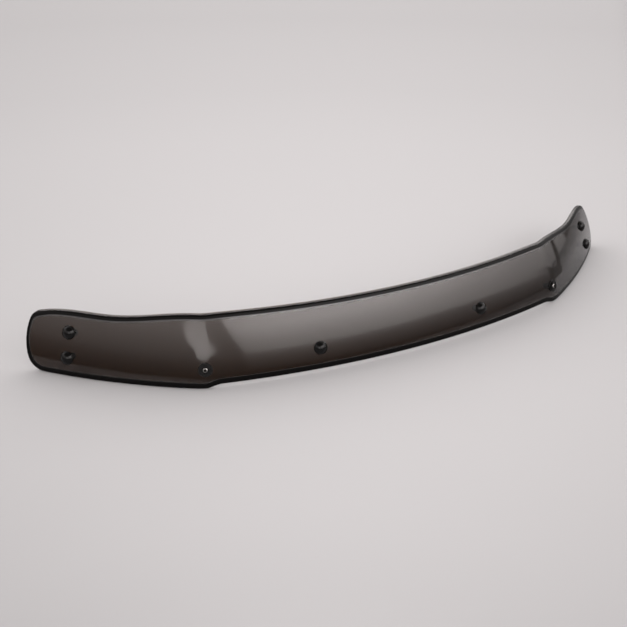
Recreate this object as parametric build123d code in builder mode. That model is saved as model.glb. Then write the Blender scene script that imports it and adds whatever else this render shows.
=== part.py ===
from build123d import *
import os
from math import asin, cos, degrees, radians, sin

# A hood bug deflector: one thermoformed sheet of smoked acrylic with a lip turned back
# all round, held to the hood by eight screws in rubber expansion nuts.
# Millimetres. +Z up, the outer face looks along -Y, X runs across the vehicle.
# The origin lies on the floor under the middle of the width and of the depth.
# Left is -X and right is +X, as seen from the front.

os.makedirs("parts", exist_ok=True)

# Plan of the outer face's foot: five tangent arcs, of which the right half is given.
front_lead = 143  # the foot's front at mid-width lies this far before the origin
centre_half_width = 390.5  # from the middle to the start of the bend
centre_turn = 12.5  # degrees that the foot has turned back by the start of the bend
bend_radius = 127
bend_turn = 15
wing_radius = 1317
wing_turn = 14.8

# Upright section: an arc that leans back more and more towards the top.
face_radius = 345
foot_lean = 14.9  # degrees from upright at the floor

# Sheet and its turned edge.
sheet = 3.2
lip_depth = 7.5  # from the outer face to the lip's back edge
edge_roll = 4.5  # outside radius where the face turns into the lip

# Height of the top edge along the sheet, and the end's shape.
top_middle = 120
top_flank = 121.8
top_bend = 122.5
top_wing = 111.5  # halfway along the wing
top_end = 104.7
flank_place = 97.5  # before the bend's start, where the top edge starts to rise
level_run = 12  # the top edge runs level this far each side of the bend's middle
upper_corner = 22
lower_corner = 42.5

# Foot: the wings stand on the floor and the centre's lower edge is raised.
centre_lift = 5.9
lift_start = 13  # past the bend's start, where the lower edge leaves the floor
lift_end = 20  # before the bend's start, where it is fully raised

# Places of the fixings: along their arc, and height on the outer face.
centre_fixing_place = 184  # from the middle
centre_fixing_height = 46.5
bend_fixing_place = 11.5  # from the start of the bend
bend_fixing_height = 36.4
end_fixing_inset = 91.5  # from the wing's end
end_lower_height = 35.2
end_upper_height = 79.1

# Cup washer, with a raised ring that a cap snaps over.
washer_radius = 13.2
washer_height = 1.5
washer_edge = 0.6
washer_floor = 1.2  # where the screw head sits
recess_radius = 6.2
ring_radius = 8.6
ring_height = 4.6
snap_bead = 0.4
snap_height = 3.5  # height of the bead's middle

# Domed cap.
cap_radius = 12.2
cap_skirt = 1.2  # the straight part under the dome
cap_height = 9.2
cap_wall = 1.4
snap_gap = 0.15

# Button head screw.
shank_radius = 3
head_radius = 5.25
head_height = 3.3
head_flat_radius = 2.9
head_bulge = 0.8
socket_flats = 4
socket_depth = 2
screw_length = 20
screw_tip = 0.6

# Rubber expansion nut and its threaded insert.
hole_radius = 3.6
nut_bore_radius = 3.3
flange_radius = 9.5
flange_thickness = 4.8  # keeps the lip clear of the hood
sleeve_radius = 6.35
sleeve_length = 14
sleeve_edge = 0.8
insert_radius = 4.6
insert_length = 9
insert_groove = 0.5
insert_shoulder = 2
thread_gap = 0.05
bond_gap = 0.05

# Runs of the cutting and dressing shapes past the sheet.
overrun = 25
seat_overrun = 1.4
block_reach = 400

centre_radius = centre_half_width / sin(radians(centre_turn))

with BuildLine() as half_plan:
    centre_arc = JernArc((0, -front_lead), (1, 0), centre_radius, centre_turn)
    bend_arc = JernArc(centre_arc @ 1, centre_arc % 1, bend_radius, bend_turn)
    wing_arc = JernArc(bend_arc @ 1, bend_arc % 1, wing_radius, wing_turn)


def lean_at(height):
    """Degrees that the outer face leans back from upright at a height."""
    return degrees(asin(sin(radians(foot_lean)) + height / face_radius))


def lean_back(height):
    """How far the outer face lies behind its own foot at a height."""
    return face_radius * (cos(radians(foot_lean)) - cos(radians(lean_at(height))))


def section_plane(arc, fraction):
    """The upright plane across the plan line, with x pointing inwards and y up."""
    along = arc % fraction
    return Plane(arc @ fraction, x_dir=(-along.Y, along.X, 0), z_dir=along)


def seat_plane(arc, fraction, height):
    """The plane that touches the outer face at a place, its z pointing out of the face."""
    here = section_plane(arc, fraction)
    angle = radians(lean_at(height))
    out = here.y_dir * sin(angle) - here.x_dir * cos(angle)
    spot = here.from_local_coords(Vector(lean_back(height), height, 0))
    return Plane(spot, x_dir=here.z_dir, z_dir=out)


bend_middle = section_plane(bend_arc, 0.5)
crown = bend_middle.from_local_coords(Vector(lean_back(top_bend), top_bend, 0))
wing_end = section_plane(wing_arc, 1)
wing_side = Plane(wing_end.origin, x_dir=wing_end.z_dir, z_dir=-wing_end.x_dir)
fall_start = wing_side.to_local_coords(crown).X + level_run


def swept_wall(front, back):
    """Half of the wall between two depths behind the outer face, from the middle to the end."""
    low = lean_at(-overrun)
    high = lean_at(top_bend + overrun)
    turn = high - low
    arc_centre = (face_radius * cos(radians(foot_lean)), -face_radius * sin(radians(foot_lean)))
    with BuildSketch(section_plane(centre_arc, 0)) as section:
        with BuildLine():
            outer = CenterArc(arc_centre, face_radius - front, 180 - high, turn)
            inner = CenterArc(arc_centre, face_radius - back, 180 - high, turn)
            Line(outer @ 0, inner @ 0)
            Line(outer @ 1, inner @ 1)
        make_face()
    with BuildPart() as wall:
        sweep(sections=section.sketch, path=half_plan.wires()[0])
    return wall.part


def rolled_edges(part, front):
    """The edges where the front face, `front` mm behind the outer face, meets the rim."""
    places = [(centre_arc, 0.5), (bend_arc, 0.25), (bend_arc, 0.75), (wing_arc, 0.5)]
    seats = [seat_plane(arc, fraction, top_end / 2) for arc, fraction in places]
    spots = [seat.origin - seat.z_dir * front for seat in seats]
    faces = part.faces()
    fronts = faces.filter_by(lambda face: min(face.distance_to(spot) for spot in spots) < 0.01)
    cuts = faces.filter_by(bend_middle) + faces.filter_by(Plane.YZ)
    return fronts.edges() & (faces - fronts - cuts).edges()


def centre_blank(front, back, inset):
    """The right half of the centre, up to the bend's middle, trimmed by its front outline."""
    reach = crown.X + 2 * overrun
    with BuildSketch(Plane.XZ) as outline:
        with BuildLine():
            rise_points = [
                (0, top_middle - inset),
                (centre_half_width - flank_place, top_flank - inset),
                (crown.X - level_run, top_bend - inset),
            ]
            top = Spline(rise_points, tangents=[(1, 0), (1, 0)])
            level = Line(top @ 1, (reach, top_bend - inset))
            Line(level @ 1, (reach, inset))
            foot = Line((reach, inset), (centre_half_width + lift_start, inset))
            lift_points = [foot @ 1, (centre_half_width - lift_end, centre_lift + inset)]
            lift = Spline(lift_points, tangents=[(-1, 0), (-1, 0)])
            Polyline(lift @ 1, (0, centre_lift + inset), top @ 0)
        make_face()
    with BuildPart() as blank:
        add(swept_wall(front, back))
        split(bisect_by=bend_middle, keep=Keep.BOTTOM)
        add(extrude(outline.sketch, amount=block_reach, both=True, mode=Mode.PRIVATE), mode=Mode.INTERSECT)
    return blank.part


def wing_blank(front, back, inset):
    """The right wing, from the bend's middle to its rounded end."""
    upper_round = (upper_corner - inset) * sin(radians(45))
    lower_round = (lower_corner - inset) * sin(radians(45))
    upper_centre = top_end - upper_corner
    end_points = [
        (fall_start, top_bend - inset),
        ((fall_start - upper_corner) / 2, top_wing - inset),
        (-upper_corner, top_end - inset),
        (upper_round - upper_corner, upper_centre + upper_round),
        (-inset, upper_centre),
        (-inset, lower_corner),
        (lower_round - lower_corner, lower_corner - lower_round),
        (-lower_corner, inset),
    ]
    reach = fall_start - 2 * overrun - lower_corner
    with BuildSketch(wing_side) as outline:
        with BuildLine():
            end = Spline(end_points, tangents=[(1, 0), (-1, 0)])
            Polyline(end @ 1, (reach, inset), (reach, top_bend - inset), end @ 0)
        make_face()
    with BuildPart() as blank:
        add(swept_wall(front, back))
        split(bisect_by=bend_middle, keep=Keep.TOP)
        add(extrude(outline.sketch, amount=block_reach, both=True, mode=Mode.PRIVATE), mode=Mode.INTERSECT)
    return blank.part


def sheet_form(front, back, inset, roll):
    """The whole tray shape between two depths, inset from the outline, its front edge rolled."""
    with BuildPart() as centre:
        add(centre_blank(front, back, inset))
        if roll:
            fillet(rolled_edges(centre.part, front), radius=roll)
    with BuildPart() as wing:
        add(wing_blank(front, back, inset))
        if roll:
            fillet(rolled_edges(wing.part, front), radius=roll)
    with BuildPart() as form:
        add(centre)
        add(wing)
        mirror(about=Plane.YZ)
    return form.part


def save(part, name):
    part.label = name
    export_step(part, f"parts/{name}.step")


end_fixing_share = 1 - end_fixing_inset / wing_arc.length
right_places = {
    "centre": seat_plane(centre_arc, centre_fixing_place / centre_arc.length, centre_fixing_height),
    "bend": seat_plane(bend_arc, bend_fixing_place / bend_arc.length, bend_fixing_height),
    "end_lower": seat_plane(wing_arc, end_fixing_share, end_lower_height),
    "end_upper": seat_plane(wing_arc, end_fixing_share, end_upper_height),
}
capped_places = ("centre", "end_lower", "end_upper")

with BuildPart() as shield:
    add(sheet_form(0, lip_depth, 0, edge_roll))
    add(sheet_form(sheet, lip_depth + sheet, sheet, 0), mode=Mode.SUBTRACT)
    with BuildSketch(*right_places.values()):
        Circle(hole_radius)
    holes = extrude(amount=lip_depth, both=True, mode=Mode.SUBTRACT)
    mirror(holes, about=Plane.YZ, mode=Mode.SUBTRACT)
save(shield.part, "shield")

# The bare wall, which gives the fixings' seats the curve of the sheet.
seat_wall = swept_wall(0, sheet)


def profile_plane(place):
    """The plane in which a turned piece's half profile is drawn, x outwards from its axis."""
    return Plane(place.origin, x_dir=place.x_dir, z_dir=-place.y_dir)


def turning_axis(place):
    return Axis(place.origin, place.z_dir)


def cup_washer(place):
    """A flanged cup whose underside takes the sheet's curve, with a beaded ring on top."""
    with BuildPart() as washer:
        with BuildSketch(profile_plane(place)) as profile:
            with BuildLine():
                Polyline(
                    (shank_radius + snap_gap, -seat_overrun),
                    (washer_radius, -seat_overrun),
                    (washer_radius, washer_height),
                    (ring_radius, washer_height),
                    (ring_radius, snap_height - snap_bead),
                    (ring_radius + snap_bead, snap_height),
                    (ring_radius - snap_bead, ring_height),
                    (recess_radius + snap_bead, ring_height),
                    (recess_radius, ring_height - snap_bead),
                    (recess_radius, washer_floor),
                    (shank_radius + snap_gap, washer_floor),
                    close=True,
                )
            make_face()
            rim = profile.vertices().group_by(Axis.X)[-1].sort_by(Axis.Y)[-1]
            fillet(rim, radius=washer_edge)
        revolve(axis=turning_axis(place))
        add(seat_wall, mode=Mode.SUBTRACT)
    return washer.part


def dome_cap(place):
    """A hollow dome that stands on the washer's flange and grips its bead from below."""
    dome_rise = cap_height - washer_height - cap_skirt
    dome_radius = (cap_radius**2 + dome_rise**2) / (2 * dome_rise)
    dome_centre = cap_height - dome_radius
    lip_radius = ring_radius + snap_gap
    hollow_radius = ring_radius + snap_bead + snap_gap
    lip_top = snap_height - snap_bead - snap_gap
    hollow_round = dome_radius - cap_wall
    hollow_top = dome_centre + (hollow_round**2 - hollow_radius**2) ** 0.5
    with BuildPart() as cap:
        with BuildSketch(profile_plane(place)):
            with BuildLine():
                Line((cap_radius, washer_height), (cap_radius, washer_height + cap_skirt))
                RadiusArc((cap_radius, washer_height + cap_skirt), (0, cap_height), -dome_radius)
                Line((0, cap_height), (0, cap_height - cap_wall))
                RadiusArc((0, cap_height - cap_wall), (hollow_radius, hollow_top), hollow_round)
                Polyline(
                    (hollow_radius, hollow_top),
                    (hollow_radius, lip_top + snap_bead),
                    (lip_radius, lip_top),
                    (lip_radius, washer_height),
                    (cap_radius, washer_height),
                )
            make_face()
        revolve(axis=turning_axis(place))
    return cap.part


def button_screw(place):
    """A button head screw with a hexagon socket, its head in the washer's cup."""
    head_top = washer_floor + head_height
    tip = washer_floor - screw_length
    with BuildPart() as screw:
        with BuildSketch(profile_plane(place)):
            with BuildLine():
                Polyline((head_flat_radius, head_top), (0, head_top), (0, tip))
                Polyline(
                    (0, tip),
                    (shank_radius - screw_tip, tip),
                    (shank_radius, tip + screw_tip),
                    (shank_radius, washer_floor),
                    (head_radius, washer_floor),
                )
                SagittaArc((head_radius, washer_floor), (head_flat_radius, head_top), -head_bulge)
            make_face()
        revolve(axis=turning_axis(place))
        with BuildSketch(place.offset(head_top)):
            RegularPolygon(socket_flats / 2, 6, major_radius=False)
        extrude(amount=-socket_depth, mode=Mode.SUBTRACT)
    return screw.part


sheet_back = -sheet
sleeve_end = sheet_back - flange_thickness - sleeve_length


def insert_outline(gap):
    """Half profile of the insert: two shoulders with a groove between them."""
    top = sleeve_end + insert_length
    grip = insert_radius - insert_groove + gap
    full = insert_radius + gap
    return [
        (0, sleeve_end),
        (full, sleeve_end),
        (full, sleeve_end + insert_shoulder + gap),
        (grip, sleeve_end + insert_shoulder + insert_groove + gap),
        (grip, top - insert_shoulder - insert_groove - gap),
        (full, top - insert_shoulder - gap),
        (full, top + gap),
        (0, top + gap),
    ]


def threaded_insert(place):
    """The brass insert moulded into the sleeve's far end."""
    with BuildPart() as insert:
        with BuildSketch(profile_plane(place)):
            with BuildLine():
                Polyline(insert_outline(0), close=True)
            make_face()
        revolve(axis=turning_axis(place))
        with BuildSketch(place.offset(sleeve_end)):
            Circle(shank_radius + thread_gap)
        extrude(amount=insert_length, mode=Mode.SUBTRACT)
    return insert.part


def well_nut(place):
    """The rubber flange behind the sheet, and the sleeve that swells in the hood's hole."""
    flange_back = sheet_back - flange_thickness
    with BuildPart() as nut:
        with BuildSketch(profile_plane(place)):
            with BuildLine():
                Polyline(
                    (nut_bore_radius, sheet_back + seat_overrun),
                    (flange_radius, sheet_back + seat_overrun),
                    (flange_radius, flange_back + sleeve_edge),
                    (flange_radius - sleeve_edge, flange_back),
                    (sleeve_radius, flange_back),
                    (sleeve_radius, sleeve_end + sleeve_edge),
                    (sleeve_radius - sleeve_edge, sleeve_end),
                    (nut_bore_radius, sleeve_end),
                    close=True,
                )
            make_face()
        revolve(axis=turning_axis(place))
        with BuildSketch(profile_plane(place)):
            with BuildLine():
                Polyline(insert_outline(bond_gap), close=True)
            make_face()
        revolve(axis=turning_axis(place), mode=Mode.SUBTRACT)
        add(seat_wall, mode=Mode.SUBTRACT)
    return nut.part


kinds = {
    "washer": cup_washer,
    "screw": button_screw,
    "well_nut": well_nut,
    "insert": threaded_insert,
    "cap": dome_cap,
}
for place_name, place in right_places.items():
    for kind, make in kinds.items():
        if kind != "cap" or place_name in capped_places:
            piece = make(place)
            save(piece, f"{kind}_right_{place_name}")
            save(mirror(piece, about=Plane.YZ, mode=Mode.PRIVATE), f"{kind}_left_{place_name}")
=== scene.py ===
import bpy
import numpy as np
from mathutils import Matrix, Vector


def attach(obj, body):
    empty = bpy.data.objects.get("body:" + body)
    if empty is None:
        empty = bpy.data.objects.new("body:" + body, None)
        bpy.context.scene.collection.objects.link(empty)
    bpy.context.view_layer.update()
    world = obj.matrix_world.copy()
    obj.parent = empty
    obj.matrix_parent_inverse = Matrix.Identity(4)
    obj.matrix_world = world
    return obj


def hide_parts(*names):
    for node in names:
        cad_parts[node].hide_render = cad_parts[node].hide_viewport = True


# A hood bug deflector in smoked acrylic, standing on its lower edge under soft studio light.
# Metres, in the frame of the CAD model: +Z up, the outer face looks along -Y.

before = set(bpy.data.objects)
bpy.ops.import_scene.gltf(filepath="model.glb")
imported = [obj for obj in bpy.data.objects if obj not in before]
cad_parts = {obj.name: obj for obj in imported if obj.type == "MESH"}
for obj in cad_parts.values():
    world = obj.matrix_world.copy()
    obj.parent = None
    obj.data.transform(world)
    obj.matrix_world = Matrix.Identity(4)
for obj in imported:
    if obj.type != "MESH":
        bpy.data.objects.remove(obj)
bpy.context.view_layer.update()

# Sizes of the sheet, as in the part's source.
FRONT_LEAD = 0.143
CENTRE_HALF_WIDTH = 0.3905
FACE_RADIUS = 0.345
FOOT_LEAN = np.radians(14.9)
SHEET = 0.0032
LIP_DEPTH = 0.0075
EDGE_ROLL = 0.0045
TOP_MIDDLE = 0.120
TOP_FLANK = 0.1218
TOP_BEND = 0.1225
TOP_WING = 0.1115
TOP_END = 0.1047
FLANK_X = CENTRE_HALF_WIDTH - 0.0975
LEVEL_RUN = 0.012
UPPER_CORNER = 0.022
LOWER_CORNER = 0.0425
CENTRE_LIFT = 0.0059
LIFT_START_X = CENTRE_HALF_WIDTH + 0.013
LIFT_END_X = CENTRE_HALF_WIDTH - 0.020
CENTRE_TURN = np.radians(12.5)
BEND_TURN = np.radians(15)
WING_TURN = np.radians(14.8)
BEND_RADIUS = 0.127
WING_RADIUS = 1.317

# Plan of the foot: three tangent arcs from the middle to the right end. Each turns on
# from where the one before it ends, so its centre lies on the line through that point.
ARC_RADII = np.array([CENTRE_HALF_WIDTH / np.sin(CENTRE_TURN), BEND_RADIUS, WING_RADIUS])
ARC_TURNS = np.array([CENTRE_TURN, BEND_TURN, WING_TURN])
ARC_STARTS = np.concatenate([[0], np.cumsum(ARC_TURNS)])
END_TURN = ARC_STARTS[-1]
BEND_MIDDLE = CENTRE_TURN + BEND_TURN / 2
ARC_LENGTHS = ARC_RADII * ARC_TURNS


def arc_centres():
    """Centre of each plan arc: the point where it starts, plus its radius square to the heading."""
    centres, spot = [], np.array([0, -FRONT_LEAD])
    for radius, start, turn in zip(ARC_RADII, ARC_STARTS, ARC_TURNS):
        centre = spot + radius * np.array([-np.sin(start), np.cos(start)])
        spot = centre + radius * np.array([np.sin(start + turn), -np.cos(start + turn)])
        centres.append(centre)
    return np.array(centres), spot


ARC_CENTRES, END_FOOT = arc_centres()
END_ALONG = np.array([np.cos(END_TURN), np.sin(END_TURN)])


def arc_of(turn):
    """Which plan arc a heading lies on: 0 the centre, 1 the bend, 2 the wing."""
    return np.clip(np.searchsorted(ARC_STARTS, turn, side="right") - 1, 0, 2)


def turn_at(length):
    """Heading at a length along the foot: each arc's length is shared out evenly over its turn."""
    return np.interp(length, np.concatenate([[0], np.cumsum(ARC_LENGTHS)]), ARC_STARTS)


def lean_sine(height, depth):
    """Sine of the face's lean at a height, on the wall that lies `depth` behind the outer face."""
    return (height + FACE_RADIUS * np.sin(FOOT_LEAN)) / (FACE_RADIUS - depth)


def fall_back(height, depth):
    """How far that wall lies behind the foot: the section's arc, less its own depth."""
    cosine = np.sqrt(1 - lean_sine(height, depth) ** 2)
    return FACE_RADIUS * np.cos(FOOT_LEAN) - (FACE_RADIUS - depth) * cosine


def wall_place(turn, height, depth):
    """Place on the wall for a heading, a height and a depth: out from the arc's centre along the heading's normal."""
    arc = arc_of(turn)
    reach = ARC_RADII[arc] - fall_back(height, depth)
    flat = ARC_CENTRES[arc] + reach[:, None] * np.stack([np.sin(turn), -np.cos(turn)], 1)
    return np.column_stack([flat, height])


def wall_normal(turn, height, depth):
    """Outward normal there: the heading's normal, tipped up by the lean."""
    sine = lean_sine(height, depth)
    cosine = np.sqrt(1 - sine**2)
    return np.stack([np.sin(turn) * cosine, -np.cos(turn) * cosine, sine], 1)


def turn_for(across, height, depth, on_wing):
    """Heading at which the wall meets a line square to the outline's plane.

    The centre's outline is drawn across X and the wing's along the wing end's own tangent, so
    the offset radius times the sine of the heading, taken from that direction, gives the place.
    """
    base = END_TURN if on_wing else 0.0
    along = END_ALONG if on_wing else np.array([1.0, 0.0])
    origin = END_FOOT @ along if on_wing else 0.0
    far_arc = 2 if on_wing else 0
    back = fall_back(height, depth)
    turns = []
    for arc in (far_arc, 1):
        reach = ARC_RADII[arc] - back
        share = (across + origin - ARC_CENTRES[arc] @ along) / reach
        turns.append(base + np.arcsin(np.clip(share, -1, 1)))
    if on_wing:
        return np.where(turns[0] >= ARC_STARTS[2], turns[0], turns[1])
    return np.where(turns[0] <= ARC_STARTS[1], turns[0], turns[1])


def smooth_line(points, first, last, count=4000):
    """A cubic spline through points, with unit end tangents, its parameter the length along the chords."""
    points = np.asarray(points, float)
    steps = np.linalg.norm(np.diff(points, axis=0), axis=1)
    knots = np.concatenate([[0], np.cumsum(steps)])
    size = len(points)
    matrix, right = np.zeros((size, size)), np.zeros((size, 2))
    matrix[0, 0] = matrix[-1, -1] = 1
    right[0], right[-1] = first, last
    for i in range(1, size - 1):
        matrix[i, i - 1 : i + 2] = steps[i], 2 * (steps[i - 1] + steps[i]), steps[i - 1]
        before, after = points[i] - points[i - 1], points[i + 1] - points[i]
        right[i] = 3 * (steps[i] ** 2 * before + steps[i - 1] ** 2 * after) / (steps[i - 1] * steps[i])
    slopes = np.linalg.solve(matrix, right)
    at = np.linspace(0, knots[-1], count)
    cell = np.clip(np.searchsorted(knots, at, side="right") - 1, 0, size - 2)
    width = steps[cell][:, None]
    share = ((at - knots[cell]) / steps[cell])[:, None]
    line = (
        points[cell] * (1 + 2 * share) * (1 - share) ** 2
        + points[cell + 1] * share**2 * (3 - 2 * share)
        + slopes[cell] * width * share * (1 - share) ** 2
        - slopes[cell + 1] * width * share**2 * (1 - share)
    )
    return line, at, knots


# Where the crown stands on the bend's middle, along the two outlines' own directions.
CROWN_FLAT = wall_place(np.array([BEND_MIDDLE]), np.array([TOP_BEND]), 0.0)[0, :2]
CROWN_X = CROWN_FLAT[0]
CROWN_ALONG = (CROWN_FLAT - END_FOOT) @ END_ALONG
FALL_START = CROWN_ALONG + LEVEL_RUN

# Headings of the mesh's columns: closer together over the bend, for each half up to the bend's middle.
BEND_START = ARC_LENGTHS[0]
BEND_END = ARC_LENGTHS[:2].sum()
BEND_HALF = ARC_LENGTHS[1] / 2
ALONG_STEPS = turn_at(
    np.concatenate([
        np.linspace(0, BEND_START - 0.006, 100),
        np.linspace(BEND_START - 0.004, BEND_START + BEND_HALF, 18),
    ])
)
WING_STEPS = turn_at(
    np.concatenate([
        np.linspace(BEND_END - BEND_HALF + 0.001, BEND_END + 0.004, 18),
        np.linspace(BEND_END + 0.007, ARC_LENGTHS.sum() - LOWER_CORNER, 80),
    ])
)
CORNER_STEPS = 20
END_STEPS = 40
ROLL_STEPS = 8

# Two lines on the outer face, by their distance from the sheet's edge along the top, round the
# ends and along the foot: the inner side of the painted highlight line, and the inner side of the
# band of painted shade.
FACE_LINES = ((0.0080, 0.0104, 0.0128), (0.0056, 0.0080, 0.0118))
FOOT_BAND_TOP = 0.040
END_BAND_RUN = 0.045
LIP_SOFTNESS = 0.0006  # rounding of the lip's edges
END_BULGE_RUN = 0.09  # how far the rounded end still bends the face's lines
MIDDLE_MARGIN = 0.0004  # headings of the centre and of the wing keep this far from the bend's middle
HEIGHT_PASSES = 4  # a place depends on its height and the height on the place, so both are worked out again
MIRROR = np.array([-1.0, 1.0, 1.0])

# Material slots of the sheet.
SHEET_SLOT, PAINTED_SHADE_SLOT, PAINTED_HIGHLIGHT_SLOT = 0, 1, 2


def centre_row(inset, upper):
    """The centre's top or bottom edge as (place across, height), from the middle to the bend's middle."""
    arc = arc_of(ALONG_STEPS)
    if upper:
        ends = [(0, TOP_MIDDLE), (FLANK_X, TOP_FLANK), (CROWN_X - LEVEL_RUN, TOP_BEND)]
    else:
        ends = [(LIFT_END_X, CENTRE_LIFT), (LIFT_START_X, 0)]
    line, _, _ = smooth_line(ends, (1, 0), (1, 0))
    height = np.zeros(len(arc))
    for _ in range(HEIGHT_PASSES):
        across = ARC_CENTRES[arc, 0] + (ARC_RADII[arc] - fall_back(height, 0.0)) * np.sin(ALONG_STEPS)
        height = np.interp(across, line[:, 0], line[:, 1]) + (-inset if upper else inset)
    return np.column_stack([across, height])


def wing_rows(inset):
    """The wing's bottom edge, end and top edge as (place along, height).

    One spline from the bend's crown, through the wing's middle and both rounded corners, to the
    foot, through the same points as the part's outline.
    """
    slant = np.sin(np.radians(45))
    upper_round = (UPPER_CORNER - inset) * slant
    lower_round = (LOWER_CORNER - inset) * slant
    upper_centre = TOP_END - UPPER_CORNER
    points = [
        (FALL_START, TOP_BEND - inset),
        ((FALL_START - UPPER_CORNER) / 2, TOP_WING - inset),
        (-UPPER_CORNER, TOP_END - inset),
        (upper_round - UPPER_CORNER, upper_centre + upper_round),
        (-inset, upper_centre),
        (-inset, LOWER_CORNER),
        (lower_round - LOWER_CORNER, LOWER_CORNER - lower_round),
        (-LOWER_CORNER, inset),
    ]
    line, at, knots = smooth_line(points, (1, 0), (-1, 0))
    arc = arc_of(WING_STEPS)
    centre_along = ARC_CENTRES[arc] @ END_ALONG - END_FOOT @ END_ALONG
    sine = np.sin(WING_STEPS - END_TURN)
    upper = at <= knots[4]
    lower = at >= knots[5]
    top, bottom = np.full(len(arc), TOP_END), np.full(len(arc), inset)
    for _ in range(HEIGHT_PASSES):
        low = centre_along + (ARC_RADII[arc] - fall_back(bottom, 0.0)) * sine
        high = centre_along + (ARC_RADII[arc] - fall_back(top, 0.0)) * sine
        top = np.interp(high, line[upper, 0], line[upper, 1], left=TOP_BEND - inset)
        bottom = np.interp(low, line[lower][::-1, 0], line[lower][::-1, 1], left=inset)
    to_corner = np.linspace(0, 1, CORNER_STEPS + 1)[1:]
    low = np.concatenate([low, low[-1] + (points[6][0] - low[-1]) * to_corner])
    high = np.concatenate([high, high[-1] + (points[3][0] - high[-1]) * to_corner])
    top = np.interp(high, line[upper, 0], line[upper, 1], left=TOP_BEND - inset)
    bottom = np.interp(low, line[lower][::-1, 0], line[lower][::-1, 1], left=inset)
    round_end = np.linspace(knots[6], knots[3], END_STEPS + 1)
    end = np.column_stack([np.interp(round_end, at, line[:, 0]), np.interp(round_end, at, line[:, 1])])
    return np.column_stack([low, bottom]), end, np.column_stack([high, top])


def rim_outline(inset):
    """The sheet's outline, inset, for the right half: bottom edge, end, and top edge back to the middle."""
    low_centre, high_centre = centre_row(inset, False), centre_row(inset, True)
    low_wing, end, high_wing = wing_rows(inset)
    line = np.concatenate([low_centre, low_wing[:-1], end, high_wing[:-1][::-1], high_centre[::-1]])
    on_wing = np.zeros(len(line), bool)
    on_wing[len(low_centre) : len(line) - len(high_centre)] = True
    return line, on_wing


def outline_turns(line, on_wing, depth):
    """Heading of every outline point on the wall at a depth; centre and wing meet at the bend's middle."""
    height = line[:, 1]
    centre = np.minimum(turn_for(line[:, 0], height, depth, False), BEND_MIDDLE - MIDDLE_MARGIN)
    wing = np.maximum(turn_for(line[:, 0], height, depth, True), BEND_MIDDLE + MIDDLE_MARGIN)
    return np.where(on_wing, wing, centre)


def outline_directions(line, on_wing):
    """Unit vectors across the outline's plane, pointing out of it: each edge direction turned by a quarter."""
    step = np.zeros_like(line)
    bottom = np.arange(len(line)) < len(line) // 2
    for part in (on_wing, ~on_wing & bottom, ~on_wing & ~bottom):
        step[part] = np.gradient(line[part], axis=0)
    step /= np.linalg.norm(step, axis=1)[:, None]
    across = np.where(on_wing[:, None], np.append(END_ALONG, 0.0), np.array([1.0, 0.0, 0.0]))
    return across * step[:, 1:2] + np.array([0.0, 0.0, 1.0]) * -step[:, 0:1]


def lip_profile():
    """(inset, depth) pairs from the roll's end, back over the lip's rounded edge and in to the inner face."""
    back, soft = LIP_DEPTH, LIP_SOFTNESS
    return [
        (0.0, back - 3.2 * soft),
        (0.0, back - soft),
        (0.3 * soft, back - 0.3 * soft),
        (soft, back),
        (SHEET / 2, back),
        (SHEET - soft, back),
        (SHEET - 0.3 * soft, back - 0.3 * soft),
        (SHEET, back - soft),
        (SHEET, back - 3.2 * soft),
        (SHEET, SHEET + 1.6 * soft),
        (SHEET + 0.5 * soft, SHEET + 0.5 * soft),
        (SHEET + 1.6 * soft, SHEET),
    ]


def rolled_shell():
    """The rim from the face inwards round to the inner face, and the two lines at which the face grids start.

    The roll is a ball's path: its centre lies one radius inside the face, and the arc swings
    from the face's normal to the normal of the lip, by the sine rule for even steps.
    """
    line, on_wing = rim_outline(0.0)
    turn = outline_turns(line, on_wing, 0.0)
    corner = wall_place(turn, line[:, 1], 0.0)
    face = wall_normal(turn, line[:, 1], 0.0)
    out = outline_directions(line, on_wing)
    edge = np.cross(face, out)
    edge /= np.linalg.norm(edge, axis=1)[:, None]
    inward = np.cross(face, edge)
    inward *= -np.sign((inward * out).sum(1))[:, None]
    swing = np.arccos(np.clip((face * out).sum(1), -1, 1))
    start = corner + inward * (EDGE_ROLL * np.tan(swing / 2))[:, None]
    across = np.where(on_wing, (start[:, :2] - END_FOOT) @ END_ALONG, start[:, 0])
    start_turn = outline_turns(np.column_stack([across, start[:, 2]]), on_wing, 0.0)
    start = wall_place(start_turn, start[:, 2], 0.0)
    face = wall_normal(start_turn, start[:, 2], 0.0)
    swing = np.arccos(np.clip((face * out).sum(1), -1, 1))[:, None]
    centre = start - face * EDGE_ROLL
    rows, outer = [], None
    near_foot = np.clip(1.5 - line[:, 1:] / FOOT_BAND_TOP, 0, 1)
    near_end = np.where(on_wing[:, None], np.clip(1 + line[:, :1] / END_BAND_RUN, 0, 1), 0)
    near_end *= 1 - near_foot
    for at_top, at_end, at_foot in FACE_LINES:
        inset_line = rim_outline(at_top)[0] * (1 - near_foot - near_end)
        inset_line += rim_outline(at_end)[0] * near_end + rim_outline(at_foot)[0] * near_foot
        place = outline_turns(inset_line, on_wing, 0.0), inset_line[:, 1]
        outer = outer or place
        rows.append(wall_place(*place, 0.0))
    rows = rows[1:] + [start]
    for share in np.linspace(0, 1, ROLL_STEPS + 1)[1:]:
        direction = (np.sin((1 - share) * swing) * face + np.sin(share * swing) * out) / np.sin(swing)
        rows.append(centre + EDGE_ROLL * direction)
    for inset, depth in lip_profile():
        inset_line, _ = rim_outline(inset)
        inner = outline_turns(inset_line, on_wing, depth), inset_line[:, 1]
        rows.append(wall_place(*inner, depth))
    return outer, rows, inner


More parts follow.
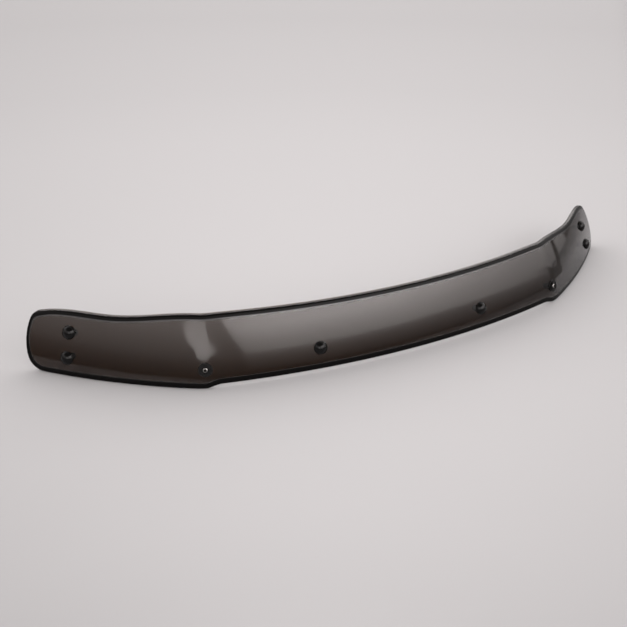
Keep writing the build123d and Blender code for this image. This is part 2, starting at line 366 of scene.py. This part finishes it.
def face_grid(boundary):
    """(turn, height) over a whole half face.

    Straight lines run from the bottom edge to the top edge, plus the bulge of the rounded end,
    which fades out over the wing's last 90 mm by the square of the distance.
    """
    turn, height = boundary
    columns = (len(turn) - END_STEPS + 1) // 2
    low = np.stack([turn[:columns], height[:columns]], 1)
    high = np.stack([turn[::-1][:columns], height[::-1][:columns]], 1)
    corner = slice(columns - 1, columns + END_STEPS)
    end = np.stack([turn[corner], height[corner]], 1)
    rise = np.linspace(0, 1, END_STEPS + 1)[:, None, None]
    flat = low * (1 - rise) + high * rise
    chord = end[0] * (1 - rise[:, 0]) + end[-1] * rise[:, 0]
    bulge = (end - chord)[:, None, :]
    past = (END_TURN - low[:, 0]) * WING_RADIUS
    weight = np.clip(1 - (past - past[-1]) / END_BULGE_RUN, 0, 1) ** 2
    return flat + bulge * weight[None, :, None]


def mirrored(grid):
    """A half grid of places joined to its mirror image across X, left end first."""
    return np.concatenate([grid[:, :0:-1] * MIRROR, grid], axis=1)


def face_places(boundary, depth):
    """Places over both halves of the face at a depth."""
    turn, height = np.moveaxis(face_grid(boundary), -1, 0)
    return mirrored(wall_place(turn.ravel(), height.ravel(), depth).reshape(*turn.shape, 3))


def quads(index, flip=False):
    """Faces between neighbouring rows and columns of a grid of vertex numbers."""
    a, b, c, d = index[:-1, :-1], index[:-1, 1:], index[1:, 1:], index[1:, :-1]
    order = [a, d, c, b] if flip else [a, b, c, d]
    return np.stack([part.ravel() for part in order], 1)


def mesh_piece(name, places, faces, material):
    """A mesh object at the origin from whole arrays of places and four-sided faces."""
    mesh = bpy.data.meshes.new(name)
    mesh.vertices.add(len(places))
    mesh.vertices.foreach_set("co", np.asarray(places, np.float32).ravel())
    mesh.loops.add(faces.size)
    mesh.loops.foreach_set("vertex_index", faces.astype(np.int32).ravel())
    mesh.polygons.add(len(faces))
    mesh.polygons.foreach_set("loop_start", np.arange(0, faces.size, 4, dtype=np.int32))
    mesh.polygons.foreach_set("use_smooth", np.ones(len(faces), bool))
    mesh.update(calc_edges=True)
    mesh.validate()
    mesh.materials.append(material)
    piece = bpy.data.objects.new(name, mesh)
    bpy.context.scene.collection.objects.link(piece)
    return piece


def shield_mesh(sheet_finish, band_finish, line_finish):
    """The whole sheet as one closed shell: outer face, roll, lip, lip's edge, and inner face.

    The painted highlight line lies between the face's two lines, and the band of painted shade, opaque
    black for the dark look of the smoked edge, runs from the second one to the end of the roll.
    """
    outer, rim, inner = rolled_shell()
    outer_places, inner_places = face_places(outer, 0.0), face_places(inner, SHEET)
    high, wide = outer_places.shape[:2]
    number = np.arange(high * wide).reshape(high, wide)
    loop = np.concatenate([number[0, :-1], number[:-1, -1], number[-1, :0:-1], number[:0:-1, 0]])
    # Rings start at the middle of the bottom edge and run through the right end, the top and the
    # left end.
    loop = np.roll(loop, -np.where(loop == number[0, wide // 2])[0][0])
    strips = [np.concatenate([row, row[1:-1][::-1] * MIRROR]) for row in rim[:-1]]
    base = high * wide
    ring_numbers = base + np.arange(len(strips) * len(loop)).reshape(len(strips), len(loop))
    inner_base = base + len(strips) * len(loop)
    band = np.concatenate([loop[None], ring_numbers, inner_base + loop[None]])
    band = np.concatenate([band, band[:, :1]], axis=1)
    places = np.concatenate([outer_places.reshape(-1, 3), *strips, inner_places.reshape(-1, 3)])
    face_quads, rim_quads = quads(number), quads(band, flip=True)
    inner_quads = quads(inner_base + number, flip=True)
    faces = np.concatenate([face_quads, rim_quads, inner_quads])
    sheet = mesh_piece("smoked_sheet", places, faces, sheet_finish)
    sheet.data.materials.append(band_finish)
    sheet.data.materials.append(line_finish)
    ring = np.repeat(np.arange(len(band) - 1), len(loop))
    finish = np.full(len(faces), SHEET_SLOT, np.int32)
    rim_finish = finish[len(face_quads) : len(face_quads) + len(rim_quads)]
    # painted shade: the band and the roll are opaque black, in place of the smoked edge's dark look
    rim_finish[ring < 2 + ROLL_STEPS] = PAINTED_SHADE_SLOT
    # painted highlight: the first ring, next to the face, is the lighter line
    rim_finish[ring == 0] = PAINTED_HIGHLIGHT_SLOT
    sheet.data.polygons.foreach_set("material_index", finish)
    return sheet


# Places of the fixings, as in the part's source: a length along the foot, and a height on the face.
CENTRE_FIXING_PLACE = 0.184  # from the middle
CENTRE_FIXING_HEIGHT = 0.0465
BEND_FIXING_PLACE = 0.0115  # from the start of the bend
BEND_FIXING_HEIGHT = 0.0364
END_FIXING_INSET = 0.0915  # from the wing's end
END_LOWER_HEIGHT = 0.0352
END_UPPER_HEIGHT = 0.0791


def fixing_seats():
    """Seat and outward axis of each fixing on the outer face, by name; the left ones mirror the right ones."""
    bend_start, _, wing_end = np.cumsum(ARC_LENGTHS)
    spots = {
        "centre": (CENTRE_FIXING_PLACE, CENTRE_FIXING_HEIGHT),
        "bend": (bend_start + BEND_FIXING_PLACE, BEND_FIXING_HEIGHT),
        "end_lower": (wing_end - END_FIXING_INSET, END_LOWER_HEIGHT),
        "end_upper": (wing_end - END_FIXING_INSET, END_UPPER_HEIGHT),
    }
    seats = {}
    for name, (length, height) in spots.items():
        turn, height = np.array([turn_at(length)]), np.array([height])
        spot, axis = wall_place(turn, height, 0.0)[0], wall_normal(turn, height, 0.0)[0]
        for side, sign in (("right", 1.0), ("left", -1.0)):
            flip = np.array([sign, 1.0, 1.0])
            seats[f"{side}_{name}"] = tuple(spot * flip), tuple(axis * flip)
    return seats


# Building blocks of the materials.


def feed(tree, socket, value):
    """Links a socket to another one, or sets it to a value."""
    if isinstance(value, bpy.types.NodeSocket):
        tree.links.new(value, socket)
    else:
        socket.default_value = value


def add_node(tree, kind, inputs=None, **settings):
    """A node with its settings, and its inputs set to a value or linked to a socket."""
    node = tree.nodes.new(kind)
    for key, value in settings.items():
        setattr(node, key, value)
    for key, value in (inputs or {}).items():
        feed(tree, node.inputs[key], value)
    return node


def maths(tree, kind, first, second):
    """The result of one sum on two numbers."""
    return add_node(tree, "ShaderNodeMath", {0: first, 1: second}, operation=kind).outputs[0]


def varied(tree, value, low, high, start=0.0, end=1.0):
    """A value between start and end spread between two numbers."""
    spread = {"Value": value, "From Min": start, "From Max": end, "To Min": low, "To Max": high}
    return add_node(tree, "ShaderNodeMapRange", spread).outputs[0]


def mixed_colour(tree, share, first, second):
    """Two colours mixed by a share."""
    return add_node(tree, "ShaderNodeMix", {0: share, 6: first, 7: second}, data_type="RGBA").outputs[2]


def noise(tree, place, scale, detail, distortion=0.0):
    """Soft noise of a scale."""
    inputs = {"Vector": place, "Scale": scale, "Detail": detail, "Distortion": distortion}
    return add_node(tree, "ShaderNodeTexNoise", inputs).outputs["Fac"]


def bumped(tree, shader, strength, distance, height):
    """The shader's normal, tipped by a height."""
    bump = add_node(tree, "ShaderNodeBump", {"Strength": strength, "Distance": distance, "Height": height})
    feed(tree, shader.inputs["Normal"], bump.outputs[0])


# Shader groups that several finishes share.


def new_group(name, inputs, outputs):
    """An empty group of (label, socket type, value) inputs and number outputs."""
    group = bpy.data.node_groups.new(name, "ShaderNodeTree")
    for label, kind, value in inputs:
        socket = group.interface.new_socket(label, in_out="INPUT", socket_type=kind)
        if value is not None:
            socket.default_value = value
    for label in outputs:
        group.interface.new_socket(label, in_out="OUTPUT", socket_type="NodeSocketFloat")
    given, result = group.nodes.new("NodeGroupInput"), group.nodes.new("NodeGroupOutput")
    return group, given.outputs, result.inputs


def dust_group():
    """Fine dust and hairline marks: a mask of sparse specks, a mask of thin crossed lines, and a slow drift."""
    group, given, result = new_group(
        "fine_dust_and_hairlines",
        [
            ("Place", "NodeSocketVector", None),
            ("Speck size", "NodeSocketFloat", 900.0),
            ("Amount", "NodeSocketFloat", 0.5),
        ],
        ["Dust", "Hairlines", "Drift"],
    )
    place, amount = given["Place"], given["Amount"]
    specks = add_node(group, "ShaderNodeTexVoronoi", {"Vector": place, "Scale": given["Speck size"]})
    near = varied(group, specks.outputs["Distance"], 1.0, 0.0, 0.05, 0.2)
    few = varied(group, noise(group, place, 14.0, 3.0), 0.0, 1.0, 0.45, 0.75)
    masks = []
    for angle, scale in ((0.5, 60.0), (-1.1, 75.0)):
        stretch = {"Vector": place, "Rotation": (0.3, angle, angle), "Scale": (1.0, 1.0, 26.0)}
        turned = add_node(group, "ShaderNodeMapping", stretch).outputs[0]
        masks.append(varied(group, noise(group, turned, scale, 4.0, 0.4), 0.0, 1.0, 0.66, 0.74))
    feed(group, result["Dust"], maths(group, "MULTIPLY", maths(group, "MULTIPLY", near, few), amount))
    feed(group, result["Hairlines"], maths(group, "MULTIPLY", maths(group, "MAXIMUM", *masks), amount))
    feed(group, result["Drift"], noise(group, place, 5.0, 2.0))
    return group


def grain_group():
    """Moulded grain: two sizes of noise added up as a height."""
    group, given, result = new_group(
        "moulded_grain",
        [("Place", "NodeSocketVector", None), ("Fineness", "NodeSocketFloat", 900.0)],
        ["Height", "Mottle"],
    )
    fine = noise(group, given["Place"], given["Fineness"], 2.0)
    broad = noise(group, given["Place"], 90.0, 3.0)
    feed(group, result["Height"], maths(group, "ADD", fine, maths(group, "MULTIPLY", broad, 0.5)))
    feed(group, result["Mottle"], broad)
    return group


def axis_group():
    """Distance from a fixing's axis, as the length of a cross product, and a fine turned ripple in it."""
    group, given, result = new_group(
        "round_the_axis",
        [(label, "NodeSocketVector", None) for label in ("Place", "Seat", "Axis")],
        ["Radius", "Rings"],
    )
    off = add_node(group, "ShaderNodeVectorMath", {0: given["Place"], 1: given["Seat"]}, operation="SUBTRACT")
    cross = add_node(group, "ShaderNodeVectorMath", {0: off.outputs[0], 1: given["Axis"]}, operation="CROSS_PRODUCT")
    radius = add_node(group, "ShaderNodeVectorMath", {0: cross.outputs[0]}, operation="LENGTH").outputs["Value"]
    spread = maths(group, "MULTIPLY", radius, 14000.0)
    rings = add_node(group, "ShaderNodeMath", {0: spread}, operation="SINE").outputs[0]
    feed(group, result["Radius"], radius)
    feed(group, result["Rings"], rings)
    return group


DUST = dust_group()
GRAIN = grain_group()
AXIS = axis_group()


def use_group(tree, group, inputs):
    """The outputs of a shared group, placed in a material with its own values."""
    return add_node(tree, "ShaderNodeGroup", inputs, node_tree=group).outputs


def new_material(name):
    """A material with its node tree, its shader and the place on the object."""
    material = bpy.data.materials.new(name)
    material.use_nodes = True
    tree = material.node_tree
    shader = tree.nodes["Principled BSDF"]
    place = tree.nodes.new("ShaderNodeTexCoord").outputs["Object"]
    return material, tree, shader, place


def smoked_acrylic():
    """Clear gloss sheet that takes up most of the light inside it, with fine dust and hairlines on top."""
    material, tree, shader, place = new_material("smoked_acrylic")
    marks = use_group(tree, DUST, {"Place": place, "Speck size": 420.0, "Amount": 0.5})
    shader.inputs["Base Color"].default_value = (0.95, 0.94, 0.935, 1)
    shader.inputs["Transmission Weight"].default_value = 1.0
    shader.inputs["IOR"].default_value = 1.49
    rough = varied(tree, marks["Drift"], 0.03, 0.07)
    rough = maths(tree, "ADD", rough, maths(tree, "MULTIPLY", marks["Hairlines"], 0.05))
    rough = maths(tree, "ADD", rough, maths(tree, "MULTIPLY", marks["Dust"], 0.15))
    feed(tree, shader.inputs["Roughness"], rough)
    bumped(tree, shader, 0.05, 0.003, noise(tree, place, 7.0, 1.0))
    smoke = add_node(tree, "ShaderNodeVolumeAbsorption")
    smoke.inputs["Color"].default_value = (0.34, 0.186, 0.0, 1)
    smoke.inputs["Density"].default_value = 1577.0
    feed(tree, tree.nodes["Material Output"].inputs["Volume"], smoke.outputs[0])
    return material


def edge_finish(name, colour, worn, rough, shine):
    """Opaque finish for the painted edge marks, the band of painted shade and the painted highlight line: dark,
    evenly glossy, with rubbed hairlines and a little dust.
    """
    material, tree, shader, place = new_material(name)
    marks = use_group(tree, DUST, {"Place": place, "Speck size": 900.0, "Amount": 0.6})
    feed(tree, shader.inputs["Base Color"], mixed_colour(tree, marks["Hairlines"], (*colour, 1), (*worn, 1)))
    spread = varied(tree, marks["Drift"], *rough)
    feed(tree, shader.inputs["Roughness"], maths(tree, "ADD", spread, maths(tree, "MULTIPLY", marks["Dust"], 0.2)))
    shader.inputs["Specular IOR Level"].default_value = shine
    return material


def painted_edge_shade():
    """Painted shade: the rolled edge and the band beside it, opaque black, in place of the dark look of the smoked
    edge seen end-on.
    """
    return edge_finish("painted_shade_edge_band", (0.0034, 0.0031, 0.0029), (0.008, 0.0075, 0.007), (0.16, 0.28), 0.07)


def painted_highlight_line():
    """Painted highlight: a lighter opaque line just inside the band, in place of the light that the roll's curve
    catches.
    """
    return edge_finish("painted_highlight_edge_line", (0.024, 0.022, 0.021), (0.04, 0.038, 0.036), (0.08, 0.16), 0.5)


def black_plastic(name, seat, colour, shine, rough, grain, fineness, dusty, seam):
    """Moulded black plastic or rubber: fine grain, a mottled gloss, and a little dust that gathers past a radius."""
    material, tree, shader, place = new_material(name)
    texture = use_group(tree, GRAIN, {"Place": place, "Fineness": fineness})
    marks = use_group(tree, DUST, {"Place": place, "Speck size": 1500.0, "Amount": dusty})
    turned = use_group(tree, AXIS, {"Place": place, "Seat": seat[0], "Axis": seat[1]})
    gathered = varied(tree, turned["Radius"], 0.0, 0.22, seam - 0.0009, seam)
    gathered = maths(tree, "MULTIPLY", gathered, varied(tree, texture["Mottle"], 0.0, 1.0, 0.35, 0.65))
    shader.inputs["Specular IOR Level"].default_value = shine
    pale = tuple(part * 2.2 + 0.012 for part in colour)
    dusted = maths(tree, "MAXIMUM", marks["Dust"], gathered)
    feed(tree, shader.inputs["Base Color"], mixed_colour(tree, dusted, (*colour, 1), (*pale, 1)))
    spread = varied(tree, texture["Mottle"], *rough)
    feed(tree, shader.inputs["Roughness"], maths(tree, "ADD", spread, gathered))
    bumped(tree, shader, grain, 0.0002, texture["Height"])
    return material


def turned_metal(name, seat, colour, rough, bright):
    """Turned or headed metal: fine rings round its axis, mottled colour, and painted shade inside and outside two
    radii.
    """
    material, tree, shader, place = new_material(name)
    marks = use_group(tree, DUST, {"Place": place, "Speck size": 1200.0, "Amount": 0.7})
    texture = use_group(tree, GRAIN, {"Place": place, "Fineness": 1400.0})
    turned = use_group(tree, AXIS, {"Place": place, "Seat": seat[0], "Axis": seat[1]})
    dull = tuple(part * 0.75 for part in colour)
    shown = mixed_colour(tree, texture["Mottle"], (*dull, 1), (*colour, 1))
    # painted shade: near-black in the screw's socket and round its head's rim, by the distance from the axis
    inner = varied(tree, turned["Radius"], 1.0, 0.0, bright[0], bright[0] + 0.0004)
    outer = varied(tree, turned["Radius"], 0.0, 1.0, bright[1], bright[1] + 0.0004)
    painted_shade_mask = maths(tree, "MAXIMUM", inner, outer)
    feed(tree, shader.inputs["Base Color"], mixed_colour(tree, painted_shade_mask, shown, (0.012, 0.011, 0.010, 1)))
    shader.inputs["Metallic"].default_value = 1.0
    spread = varied(tree, texture["Mottle"], *rough)
    spread = maths(tree, "ADD", spread, maths(tree, "MULTIPLY", marks["Hairlines"], 0.15))
    feed(tree, shader.inputs["Roughness"], maths(tree, "MAXIMUM", spread, maths(tree, "MULTIPLY", painted_shade_mask, 0.6)))
    ridges = maths(tree, "MULTIPLY", turned["Rings"], 0.4)
    bumped(tree, shader, 0.12, 0.0001, maths(tree, "ADD", texture["Height"], ridges))
    return material


# The fixings' finishes. Dust gathers at the seam, and the metal stays bright between two radii, with painted shade
# inside and outside them.
PLASTICS = {
    "cap": dict(
        colour=(0.0042, 0.004, 0.0038), shine=0.16, rough=(0.09, 0.17),
        grain=0.05, fineness=1100.0, dusty=0.3, seam=0.0118,
    ),
    "washer": dict(
        colour=(0.0052, 0.005, 0.0048), shine=0.16, rough=(0.26, 0.4),
        grain=0.15, fineness=900.0, dusty=0.4, seam=0.0128,
    ),
    "well_nut": dict(
        colour=(0.022, 0.021, 0.020), shine=0.4, rough=(0.66, 0.84),
        grain=0.4, fineness=700.0, dusty=1.0, seam=0.0092,
    ),
}
METALS = {
    "insert": dict(colour=(0.72, 0.53, 0.26), rough=(0.24, 0.38), bright=(0.0005, 0.012)),
    "screw": dict(colour=(0.30, 0.29, 0.28), rough=(0.24, 0.38), bright=(0.0027, 0.0046)),
}


def dress_fixings():
    """Every washer, cap, screw, nut and insert gets the finish of its kind, centred on its own axis."""
    kinds = [(black_plastic, *item) for item in PLASTICS.items()]
    kinds += [(turned_metal, *item) for item in METALS.items()]
    for place, seat in fixing_seats().items():
        for finish, kind, values in kinds:
            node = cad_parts.get(f"{kind}_{place}")
            if node:
                node.data.materials.clear()
                node.data.materials.append(finish(f"{kind}_finish_{place}", seat, **values))


dress_fixings()
sheet = shield_mesh(smoked_acrylic(), painted_edge_shade(), painted_highlight_line())
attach(sheet, "root")
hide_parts("shield")


# The studio: a pale floor, a sky-like room light, two soft panels on a circle round the part, and a dark
# card close to its right end. The camera sees neither the panels nor the card.

LIGHT_COLOUR = (1.0, 0.95, 0.94, 1)
FLOOR_COLOUR = (0.712, 0.712, 0.72, 1)
STUDIO_RADIUS = 4.0
STAND_FOOT = (-0.638, -1.101)  # under the camera
SIGHT_BEARING = np.radians(27.2)
VIEW_BORDER = (0.513, -0.136)  # a place on the floor at the right border of the view
VIEW_BORDER_OUT = (3.147 / 4.359, -3.016 / 4.359)  # the direction out of the view there
CARD_X = 0.78
CARD_LEVEL = 0.26
CARD_STEPS = 160


def smooth_rise(share):
    """0 below 0 and 1 above 1, and between them the cubic that is level at both ends."""
    share = np.clip(share, 0, 1)
    return share**2 * (3 - 2 * share)


def grid_piece(name, places, shape, material):
    """A mesh piece from one grid of places, row by row."""
    return mesh_piece(name, places, quads(np.arange(len(places)).reshape(shape)), material)


def give_vertices(piece, name, values):
    """A number at every vertex, for the piece's material to read."""
    attribute = piece.data.attributes.new(name, "FLOAT", "POINT")
    attribute.data.foreach_set("value", values.astype(np.float32).ravel())


def vertex_value(tree, name):
    """That number, as the material reads it."""
    return add_node(tree, "ShaderNodeAttribute", None, attribute_name=name).outputs["Fac"]


def glowing_material(name):
    """A material with no shader yet, a clear shader to lay its glow over, and its surface socket."""
    material = bpy.data.materials.new(name)
    material.use_nodes = True
    tree = material.node_tree
    tree.nodes.remove(tree.nodes["Principled BSDF"])
    clear = add_node(tree, "ShaderNodeBsdfTransparent").outputs[0]
    return material, tree, clear, tree.nodes["Material Output"].inputs["Surface"]


def studio_floor():
    """A wide flat sheet of paper.

    Its colour carries a painted light falloff: darker with distance from the foot of the camera's stand and
    to the sides of the line of sight, by the square of the sine of the angle, and a painted shade a
    little darker still past the right of the view.
    """
    material, tree, shader, place = new_material("paper_floor")
    shader.inputs["Roughness"].default_value = 0.9
    shader.inputs["Specular IOR Level"].default_value = 0.1
    fibre = varied(tree, noise(tree, place, 260.0, 2.0), 0.994, 1.006)
    shade = maths(tree, "MULTIPLY", vertex_value(tree, "shade"), fibre)
    feed(tree, shader.inputs["Base Color"], mixed_colour(tree, shade, (0.0, 0.0, 0.0, 1), FLOOR_COLOUR))
    side = np.concatenate([np.linspace(-14, -3, 23)[:-1], np.linspace(-3, 5, 161), np.linspace(5, 14, 19)[1:]])
    x, y = [flat.ravel() for flat in np.meshgrid(side, side)]
    from_stand = np.hypot(x - STAND_FOOT[0], y - STAND_FOOT[1])
    aside = np.arctan2(x - STAND_FOOT[0], y - STAND_FOOT[1]) - SIGHT_BEARING
    # painted light falloff: the paper's colour darkens with distance from the stand, to the sides, and past the
    # view's right
    painted_lamp_falloff = np.interp(
        from_stand,
        [0.3, 0.57, 0.72, 0.91, 1.1, 1.6, 2.5, 3.3, 5.4],
        [0.84, 0.88, 0.94, 0.98, 1, 1, 0.97, 0.92, 0.86],
    )
    past_view = (x - VIEW_BORDER[0]) * VIEW_BORDER_OUT[0] + (y - VIEW_BORDER[1]) * VIEW_BORDER_OUT[1]
    painted_side_falloff = 1 - 0.4 * np.sin(np.clip(aside, -0.7, 0.7)) ** 2
    painted_border_shade = 1 - 0.3 * smooth_rise((past_view - 0.03) / 0.5)
    floor = grid_piece("studio_floor", np.stack([x, y, np.zeros(x.size)], 1), (len(side), len(side)), material)
    give_vertices(floor, "shade", painted_lamp_falloff * painted_side_falloff * painted_border_shade)


def light_panel(name, bearings, heights, glow_of):
    """A curved panel on a circle of 4 m round the part, that adds its glow to the room behind it.

    Bearings are in degrees from -Y towards +X and heights in metres; glow_of gives the glow at each.
    """
    bearing, height = np.meshgrid(bearings, heights)
    angle = np.radians(bearing)
    places = np.stack([STUDIO_RADIUS * np.sin(angle), -STUDIO_RADIUS * np.cos(angle), height], -1)
    material, tree, clear, surface = glowing_material(name)
    light = add_node(tree, "ShaderNodeEmission", {"Color": LIGHT_COLOUR, "Strength": vertex_value(tree, "glow")})
    both = add_node(tree, "ShaderNodeAddShader", {0: light.outputs[0], 1: clear})
    feed(tree, surface, both.outputs[0])
    panel = grid_piece(name, places.reshape(-1, 3), bearing.shape, material)
    give_vertices(panel, "glow", glow_of(bearing, height))
    panel.visible_camera = False
    panel.visible_diffuse = False


def main_glow(bearing, height):
    """Bright above a lower edge that sinks from left to right, with a faint skirt below it and a crisp left side."""
    edge = np.interp(
        bearing,
        [-10.2, -9.4, -8.7, -7.5, 0.0, 13.0, 26.0, 40.0, 53.0, 62.0, 68.0, 78.0],
        [1.70, 1.35, 1.20, 1.14, 1.09, 1.03, 0.98, 0.91, 0.72, 0.58, 0.30, -0.10],
    )
    rise = np.interp(
        height - edge,
        [-1.0, -0.4, -0.08, 0.08, 0.3, 0.8, 1.4, 2.2],
        [0, 0.09, 0.2, 0.48, 0.52, 0.7, 0.96, 1.0],
    )
    strength = np.interp(
        bearing,
        [-13, 0, 13, 27, 40, 53, 66, 79, 97],
        [3.0, 4.2, 4.5, 4.7, 4.2, 3.0, 1.8, 1.2, 0.9],
    )
    start = np.interp(height, [1.2, 1.337, 2.316, 3.945, 4.6], [-9.7, -9.9, -11.3, -12.9, -13.5])
    left = smooth_rise((bearing - start) / 0.5 + 0.5)
    right = smooth_rise((96.5 - bearing) / 1.0)
    return rise * strength * left * right * smooth_rise((4.6 - height) / 0.3)


def strip_glow(bearing, height):
    """A leaning four-sided glow with soft sides: full in its lower middle, weaker towards the top."""
    foot = np.interp(bearing, [-46.0, -40.0, -30.0, -22.0, -15.0], [1.40, 1.05, 0.93, 0.98, 1.25])
    left = np.interp(height, [1.1, 1.64, 2.2, 2.74], [-42.5, -46.2, -48.4, -49.9])
    right = np.interp(height, [1.7, 3.4], [-15.6, -20.0])
    sides = smooth_rise((bearing - left) / 1.6 + 0.5) * smooth_rise((right - bearing) / 2.6 + 0.5)
    ends = smooth_rise((height - foot) / 0.3 + 0.5) * smooth_rise((3.9 - height) / 0.7)
    return 3.0 * sides * ends * np.interp(height, [1.0, 1.6, 2.6, 3.6], [0.9, 1.0, 0.75, 0.5])


def dark_card():
    """A dark card close to the right, outside the view: a leaning post that widens to a low wall towards the front.

    Its lower and its upper border are two lines of (y, z) with the same number of points, and it
    thins out to nothing at its front end.
    """
    upper = np.array([
        (-0.013, 0.169), (-0.038, 0.117), (-0.055, 0.065), (-0.066, 0.049),
        (-0.084, 0.055), (-0.156, 0.098), (-0.253, 0.158), (-0.42, 0.21),
    ])
    lower = np.array([
        (-0.001, 0.166), (-0.023, 0.104), (-0.040, 0.044), (-0.050, 0.001),
        (-0.084, 0.001), (-0.156, 0.001), (-0.253, 0.001), (-0.42, 0.001),
    ])
    run = np.concatenate([[0], np.cumsum(np.linalg.norm(np.diff(upper, axis=0), axis=1))])
    at = np.linspace(0, run[-1], CARD_STEPS)
    borders = [
        np.stack([np.full(CARD_STEPS, CARD_X), np.interp(at, run, line[:, 0]), np.interp(at, run, line[:, 1])], 1)
        for line in (lower, upper)
    ]
    places = np.concatenate(borders)
    material, tree, clear, surface = glowing_material("dark_card")
    grey = add_node(tree, "ShaderNodeEmission", {"Color": LIGHT_COLOUR, "Strength": CARD_LEVEL})
    both = add_node(tree, "ShaderNodeMixShader", {0: vertex_value(tree, "solid"), 1: clear, 2: grey.outputs[0]})
    feed(tree, surface, both.outputs[0])
    card = grid_piece("dark_card", places, (2, CARD_STEPS), material)
    give_vertices(card, "solid", smooth_rise((places[:, 1] + 0.36) / 0.24))
    card.visible_camera = False
    card.visible_diffuse = False
    card.visible_shadow = False


# The room's level at (sine of the height above the horizon), on its front and on its back wall.
ROOM_FRONT = (
    (0.0, 0.19), (0.087, 0.33), (0.174, 0.5), (0.25, 0.8), (0.342, 1.08),
    (0.47, 1.5), (0.56, 1.9), (0.665, 2.05), (0.71, 0.4), (0.88, 0.2),
)
ROOM_BACK = ((0.0, 0.20), (0.2, 0.7), (0.4, 1.75), (0.8, 1.9), (1.0, 0.3))
BACKDROP = (0.62, 0.62, 0.62, 1)
RAMP_SCALE = 4.0


def room_ramp(tree, height, points):
    """A grey ramp through (place, level) points.

    A ramp's colours end at 1, so it is drawn at a quarter of the levels and multiplied by four.
    """
    ramp = add_node(tree, "ShaderNodeValToRGB", {"Fac": height})
    while len(ramp.color_ramp.elements) < len(points):
        ramp.color_ramp.elements.new(0.5)
    for element, (spot, level) in zip(ramp.color_ramp.elements, points):
        element.position = spot
        element.color = (level / RAMP_SCALE, level / RAMP_SCALE, level / RAMP_SCALE, 1)
    return maths(tree, "MULTIPLY", ramp.outputs["Color"], RAMP_SCALE)


def room_light():
    """The room's own light: from the back right and above, and dim at the horizon on the front wall.

    The camera and what is seen through the sheet get a pale backdrop.
    """
    world = bpy.data.worlds.new("studio_room")
    bpy.context.scene.world = world
    world.use_nodes = True
    tree = world.node_tree
    direction = tree.nodes.new("ShaderNodeTexCoord").outputs["Generated"]
    height = add_node(tree, "ShaderNodeSeparateXYZ", {0: direction}).outputs["Z"]
    ahead = add_node(tree, "ShaderNodeVectorMath", {0: direction, 1: (0.42, 0.91, 0.0)}, operation="DOT_PRODUCT")
    behind = varied(tree, ahead.outputs["Value"], 0.0, 1.0, 0.05, 0.6)
    level = mixed_colour(tree, behind, room_ramp(tree, height, ROOM_FRONT), room_ramp(tree, height, ROOM_BACK))
    path = tree.nodes.new("ShaderNodeLightPath")
    seen = maths(tree, "MAXIMUM", path.outputs["Is Camera Ray"], path.outputs["Is Transmission Ray"])
    background = tree.nodes["Background"]
    background.inputs["Color"].default_value = LIGHT_COLOUR
    feed(tree, background.inputs["Strength"], mixed_colour(tree, seen, level, BACKDROP))


studio_floor()
light_panel("main_panel", np.linspace(-14.5, 97, 320), np.linspace(0.05, 4.6, 90), main_glow)
light_panel("side_panel", np.linspace(-52, -13, 100), np.linspace(0.6, 4.2, 70), strip_glow)
dark_card()
room_light()

# The camera, at the photograph's viewing angle.
CAMERA_BEARING = np.radians(-24.15)
CAMERA_RISE = np.radians(31.18)
CAMERA_ROLL = np.radians(0.34)
CAMERA_AIM = Vector((0.0, -0.0430, 0.050))
CAMERA_DISTANCE = 1.42631
AIM_ACROSS = 0.14947
AIM_UP = 0.01235
FOCAL_PIXELS = 693.22
FRAME_PIXELS = 627
SENSOR_WIDTH = 36.0  # millimetres

flat_away = Vector((np.sin(CAMERA_BEARING), -np.cos(CAMERA_BEARING), 0.0))
away = flat_away * np.cos(CAMERA_RISE) + Vector((0.0, 0.0, np.sin(CAMERA_RISE)))
across = Vector((np.cos(CAMERA_BEARING), np.sin(CAMERA_BEARING), 0.0))
upward = away.cross(across)
spot = CAMERA_AIM - across * AIM_ACROSS - upward * AIM_UP + away * CAMERA_DISTANCE
rolled_across = across * np.cos(CAMERA_ROLL) + upward * np.sin(CAMERA_ROLL)
rolled_upward = upward * np.cos(CAMERA_ROLL) - across * np.sin(CAMERA_ROLL)
camera = bpy.data.objects.new("camera", bpy.data.cameras.new("camera"))
camera.data.sensor_width = SENSOR_WIDTH
camera.data.lens = FOCAL_PIXELS * SENSOR_WIDTH / FRAME_PIXELS
camera.data.clip_start = 0.05
camera.data.clip_end = 60.0
turned = Matrix((rolled_across, rolled_upward, away)).transposed().to_4x4()
camera.matrix_world = Matrix.Translation(spot) @ turned
bpy.context.scene.collection.objects.link(camera)
bpy.context.scene.camera = camera
bpy.context.scene.view_settings.view_transform = "Standard"
